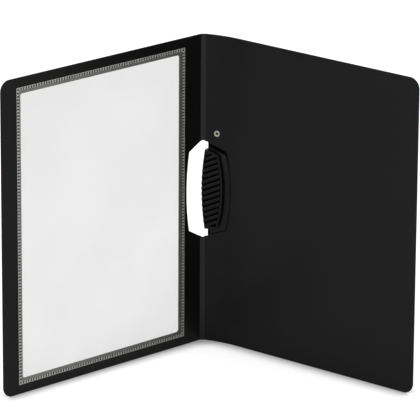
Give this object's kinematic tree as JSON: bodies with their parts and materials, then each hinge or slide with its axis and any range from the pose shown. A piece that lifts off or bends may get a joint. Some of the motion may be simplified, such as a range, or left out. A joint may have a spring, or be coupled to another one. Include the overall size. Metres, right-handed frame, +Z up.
{
  "type": "report cover",
  "caption": "Black plastic report cover with a clear window in the front cover and a swing clip that turns on a hollow rivet to hold loose pages, stood open on its bottom edges.",
  "frame": {"origin": "on the ground, in the middle of the space that the open cover takes up", "axes": "+Z up the spine, +Y towards the spine, so that the covers open towards -Y, and +X to the side of the back cover"},
  "size_m": [0.3628, 0.1602, 0.2921],
  "materials": {
    "black_sheet": "fine matt grain, extruded sheet",
    "black_moulding": "satin, moulded",
    "clear_film": "clear with a slight haze",
    "plated_steel": "plated, slightly dull"
  },
  "bodies": {
    "back": {"back_cover": "black_sheet", "pivot_rivet": "plated_steel"},
    "spine": {"spine_strip_top": "black_sheet", "spine_strip_bottom": "black_sheet"},
    "front": {"front_cover": "black_sheet", "window_film": "clear_film"},
    "clip": {"swing_clip": "black_moulding"}
  },
  "joints": [
    {"name": "spine_fold", "type": "hinge", "parent": "back", "child": "spine", "pos_m": [-0.00442, 0.07624, 0], "axis": [0, 0, 1], "range_deg": [-111.7, 68.3]},
    {"name": "front_fold", "type": "hinge", "parent": "spine", "child": "front", "pos_m": [-0.00941, 0.07592, 0], "axis": [0, 0, 1], "range_deg": [-128.5, 33.9]},
    {"name": "clip_swing", "type": "hinge", "parent": "back", "child": "clip", "pos_m": [0.00581, 0.07222, 0.19965], "axis": [0.4206, 0.9072, 0], "range_deg": [0, 60]}
  ]
}
